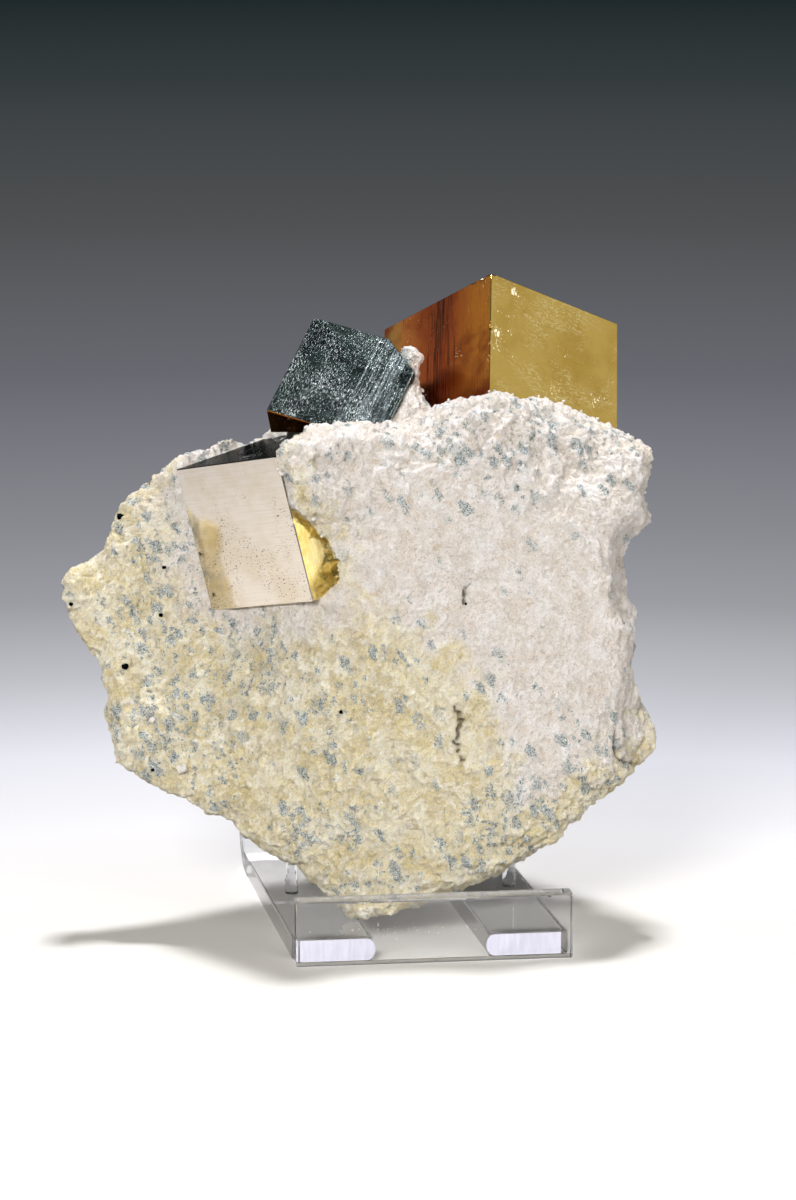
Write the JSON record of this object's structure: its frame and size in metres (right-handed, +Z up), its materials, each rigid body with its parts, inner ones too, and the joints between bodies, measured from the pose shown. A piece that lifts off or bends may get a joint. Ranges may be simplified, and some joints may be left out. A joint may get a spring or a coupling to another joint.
{
  "type": "mineral specimen",
  "caption": "Pyrite cubes grown in a slab of cream marl, leaning in a small clear stand.",
  "frame": {"origin": "on the floor under the middle of the bounding box", "axes": "+Z up, +X to the viewer's right along the slab, +Y to the back, the way the slab leans"},
  "size_m": [0.0832, 0.0607, 0.0908],
  "materials": {
    "marl": "rough broken marl, cream with blue-grey flecks",
    "pyrite_gold": "natural crystal faces, brass yellow, one side tarnished orange brown",
    "pyrite_dark": null,
    "pyrite_pale": "natural crystal faces, pale silvery brass with faint striations",
    "clear_acrylic": "clear acrylic sheet and rod, polished edges"
  },
  "bodies": {
    "root": {"matrix": "marl", "pyrite_cube_large": "pyrite_gold", "pyrite_cube_middle": "pyrite_dark", "pyrite_cube_left": "pyrite_pale", "stand_lip": "clear_acrylic", "stand_arm_left": "clear_acrylic", "stand_arm_right": "clear_acrylic", "stand_rod_left": "clear_acrylic", "stand_rod_right": "clear_acrylic"}
  },
  "joints": []
}
